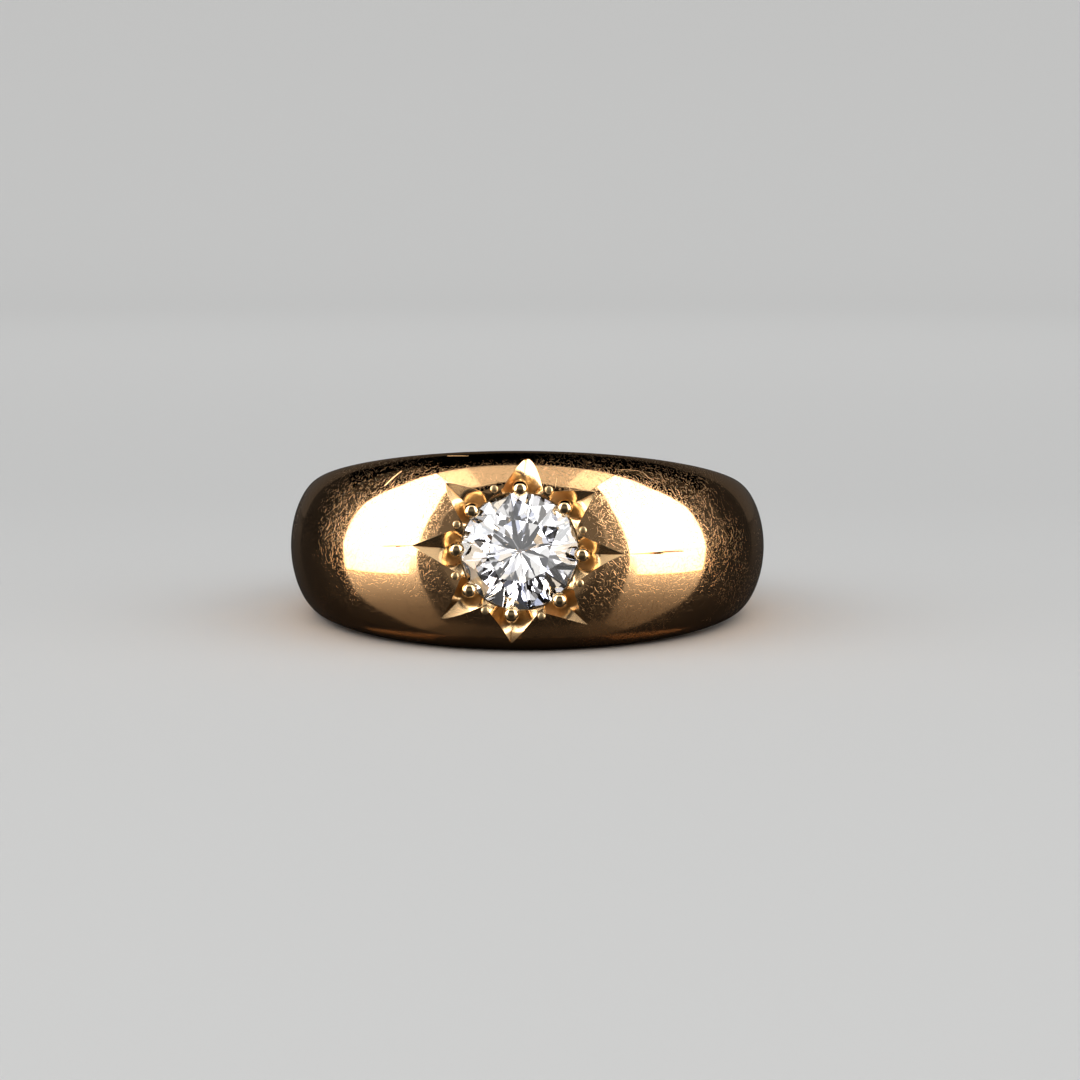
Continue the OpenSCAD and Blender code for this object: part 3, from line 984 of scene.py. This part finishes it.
class RING_OT_diamond(bpy.types.Operator):
    """Builds the hand-cut diamond"""

    bl_idname = "ring.diamond"
    bl_label = "Diamond"

    def execute(self, context):
        values = {"Roughness": 0, "IOR": DIAMOND_IOR, "Transmission Weight": 1}
        material, tree, shader = new_material("diamond", values)
        # Painted fire: the facets tint what is seen through them amber, white or blue, in place of
        # the coloured light that a real diamond splits
        fire = node(tree, "ShaderNodeAttribute", attribute_name="fire").outputs["Fac"]
        ramp = node(tree, "ShaderNodeValToRGB", Fac=fire)
        tree.links.new(ramp.outputs["Color"], shader.inputs["Base Color"])
        stops = ramp.color_ramp.elements
        for k, (place, tint) in enumerate(PAINTED_FIRE):
            stop = stops[k] if k < 2 else stops.new(place)
            stop.position, stop.color = place, (*tint, 1)
        band = Band(context.scene.ring_band, context.scene.ring_star)
        points, faces = diamond_surface(band)
        piece = make_piece("cut_diamond", lie_down(band, points), faces, material, smooth=False)
        # Each facet's share of painted fire, at random; the table's is fixed
        shares = np.random.default_rng(3).uniform(0, 1, len(faces))
        shares[0] = TABLE_PAINTED_FIRE
        piece.data.attributes.new("fire", "FLOAT", "FACE").data.foreach_set("value", shares)
        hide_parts("diamond")
        return {"FINISHED"}


class RING_OT_stage(bpy.types.Operator):
    """Lays the pale floor and sets the soft lights and the camera"""

    bl_idname = "ring.stage"
    bl_label = "Stage"

    def execute(self, context):
        scene = context.scene
        look = scene.ring_stage
        lay_floor(look)
        light_room(scene, look)
        light_sides(look)
        light_front_and_back(look)
        light_stone(look)
        aim_camera(scene)
        scene.view_settings.view_transform = "Standard"
        scene.view_settings.gamma = VIEW_GAMMA
        return {"FINISHED"}


def lay_floor(look):
    """Lays the floor under the ring."""
    points, faces = dish(0.3, 0.3)
    add_mesh("floor", points.tolist(), corner_lists(faces), floor_material(look))


def light_room(scene, look):
    """Light from all round on the floor, which the gold and the stone don't mirror."""
    world = bpy.data.worlds.new("studio")
    world.use_nodes = True
    background = world.node_tree.nodes["Background"]
    background.inputs[0].default_value = ROOM_TINT
    background.inputs[1].default_value = look.ambient
    world.cycles_visibility.glossy = world.cycles_visibility.transmission = False
    scene.world = world


def light_sides(look):
    """Lights either side: a soft light on the floor, the glows that the gold and the stone
    mirror in its place, and two dim edges."""
    for name, side in (("left", -1), ("right", 1)):
        way, x, glow_x = (-side, 0, 0), ROOM_X * side, (ROOM_X - GLOW_INSET) * side
        wall = panel(name + "_wall", (x, -0.09, 0.2), way, 0.24, ROOM_TOP, look.walls / 3)
        wall.visible_glossy = wall.visible_transmission = False
        high_z = ROOM_TOP - GLOW_INSET
        wall_glow = [(glow_x, y, z) for y, z in WALL]
        low_glow = [(out * side, y, LOW_UP) for out, y in LOW]
        high_glow = [(out * side, y, high_z) for out, y in HIGH]
        glow(name + "_glow", wall_glow, WHITE, look.walls)
        glow(name + "_low", low_glow, LOW_TINT, look.walls)
        glow(name + "_high", high_glow, HIGH_TINT, look.walls / 2.5)
        panel(name + "_back_edge", (x, 0.05, 0.2), way, 0.12, ROOM_TOP, look.edges / 6)
        panel(name + "_front_edge", (x, -0.275, 0.2), way, 0.13, ROOM_TOP, look.edges)


def light_front_and_back(look):
    """The top light, the dim light behind the camera and the lights behind the ring."""
    panel("ceiling", (0, -0.14, ROOM_TOP), (0, 0, -1), 0.5, 0.22, look.ceiling)
    panel("front", (0, -0.3, 0.14), (0, 1, 0), 0.5, 0.28, look.front)
    rear = panel("rear", (0, 0.29, 0.14), (0, -1, 0), 0.5, 0.28, look.rear)
    rear.visible_diffuse = False
    panel("back_wash", (0, 0.15, 0.35), (0, 0.95, -0.3), 0.8, 0.2, look.back)


def light_stone(look):
    """Small lights and one soft light that reach the stone alone."""
    stone = bpy.data.collections.new("sparkle")
    stone.objects.link(bpy.data.objects["cut_diamond"])
    lamps = [
        panel(f"sparkle_{k}", (x, -0.29, z), (-x, 0.29, -z), size, size, look.sparkle)
        for k, (x, z, size) in enumerate(SPARKLES)
    ]
    lamps.append(panel("stone_fill", (0, -0.32, 0.17), (0, 1, -0.5), 0.5, 0.34, look.fill))
    for lamp in lamps:
        lamp.light_linking.receiver_collection = stone


def aim_camera(scene):
    """Sets the camera at its distance from the ring, by its turn and rise."""
    camera = bpy.data.cameras.new("camera")
    camera.lens, camera.sensor_width = CAMERA_LENS, CAMERA_SENSOR
    camera.shift_x, camera.shift_y = CAMERA_SHIFT
    camera.clip_start, camera.clip_end = 0.005, 10
    out, up = math.cos(CAMERA_RISE), math.sin(CAMERA_RISE)
    way = np.array([math.sin(CAMERA_TURN) * out, -math.cos(CAMERA_TURN) * out, up])
    holder = bpy.data.objects.new("camera", camera)
    holder.location = np.array(CAMERA_TARGET) + way * CAMERA_DISTANCE
    holder.rotation_mode = "QUATERNION"
    holder.rotation_quaternion = look_along(-way)
    scene.collection.objects.link(holder)
    scene.camera = holder


def floor_material(look):
    """Pale and matt to the eye. What the gold and the stone mirror of it is deep and
    glossy, so that the lower half of the dome keeps its depth."""
    pale = {"Base Color": (*look.floor, 1), "Roughness": 0.9, "Specular IOR Level": 0}
    material, tree, shader = new_material("pale_floor", pale)
    deep = {"Base Color": (*look.mirrored, 1), "Specular Tint": DEEP_TINT, "IOR": DEEP_IOR}
    deep = node(tree, "ShaderNodeBsdfPrincipled", (0, -400), Roughness=DEEP_ROUGHNESS, **deep)
    seen = node(tree, "ShaderNodeMixShader")
    tree.links.new(node(tree, "ShaderNodeLightPath").outputs["Is Camera Ray"], seen.inputs[0])
    tree.links.new(deep.outputs[0], seen.inputs[1])
    tree.links.new(shader.outputs[0], seen.inputs[2])
    tree.links.new(seen.outputs[0], tree.get_output_node("ALL").inputs[0])
    return material


def dish(flat, rise):
    """A round floor: flat out to one radius, then rising as a quarter circle."""
    around = np.linspace(0, 2 * math.pi, 97)[:-1]
    bend = np.linspace(0, math.pi / 2, 25)[1:]
    r = np.concatenate([[0, 0.05], np.linspace(0.1, flat, 8), flat + rise * np.sin(bend)])
    z = np.concatenate([np.zeros(10), rise * (1 - np.cos(bend))])
    grid = np.stack(
        [r[:, None] * np.cos(around), r[:, None] * np.sin(around), z[:, None] + 0 * around], -1
    )
    points, _, faces = weld([(grid, 0, True)])
    return points, faces


def panel(name, centre, way, width, height, radiance):
    """A soft rectangular light that faces along way and isn't seen by the camera."""
    lamp = bpy.data.lights.new(name, "AREA")
    lamp.shape = "RECTANGLE"
    lamp.size, lamp.size_y = width, height
    lamp.energy = radiance * math.pi * width * height
    piece = bpy.data.objects.new(name, lamp)
    piece.location = centre
    piece.rotation_mode = "QUATERNION"
    piece.rotation_quaternion = look_along(way)
    piece.visible_camera = False
    bpy.context.scene.collection.objects.link(piece)
    return piece


def glow(name, corners, tint, radiance):
    """A flat light of any outline, which only the gold and the stone mirror."""
    values = {"Base Color": BLACK, "Emission Color": tint, "Emission Strength": radiance}
    material = new_material(name, values)[0]
    made = add_mesh(name, corners, [tuple(range(len(corners)))], material, smooth=False)
    made.visible_camera = made.visible_shadow = made.visible_diffuse = False


def look_along(way):
    """The turn that points a lamp or camera along way, level."""
    return Vector(way).to_track_quat("-Z", "Y")


class RING_PT_panel(bpy.types.Panel):
    """Lists the ring's pieces"""

    bl_label = "Starburst Ring"
    bl_space_type = "VIEW_3D"
    bl_region_type = "UI"
    bl_category = "Ring"

    def draw(self, context):
        for operator in OPERATORS:
            self.layout.operator(operator.bl_idname)
        for group in GROUPS:
            for key in GROUPS[group].__annotations__:
                self.layout.prop(getattr(context.scene, group), key)


OPERATORS = (RING_OT_band, RING_OT_grains, RING_OT_diamond, RING_OT_stage)
GROUPS = {
    "ring_band": BandSizes,
    "ring_star": StarSizes,
    "ring_gold": GoldLook,
    "ring_stage": StageLook,
}


def register():
    """Registers the classes and hangs the property groups on the scene."""
    for cls in (*GROUPS.values(), *OPERATORS, RING_PT_panel):
        bpy.utils.register_class(cls)
    for name, group in GROUPS.items():
        setattr(bpy.types.Scene, name, bpy.props.PointerProperty(type=group))


def unregister():
    """Undoes register."""
    for name in GROUPS:
        delattr(bpy.types.Scene, name)
    for cls in (RING_PT_panel, *OPERATORS, *GROUPS.values()):
        bpy.utils.unregister_class(cls)


def main():
    register()
    bpy.ops.ring.band()
    bpy.ops.ring.grains()
    bpy.ops.ring.diamond()
    bpy.ops.ring.stage()


if __name__ == "__main__":
    main()
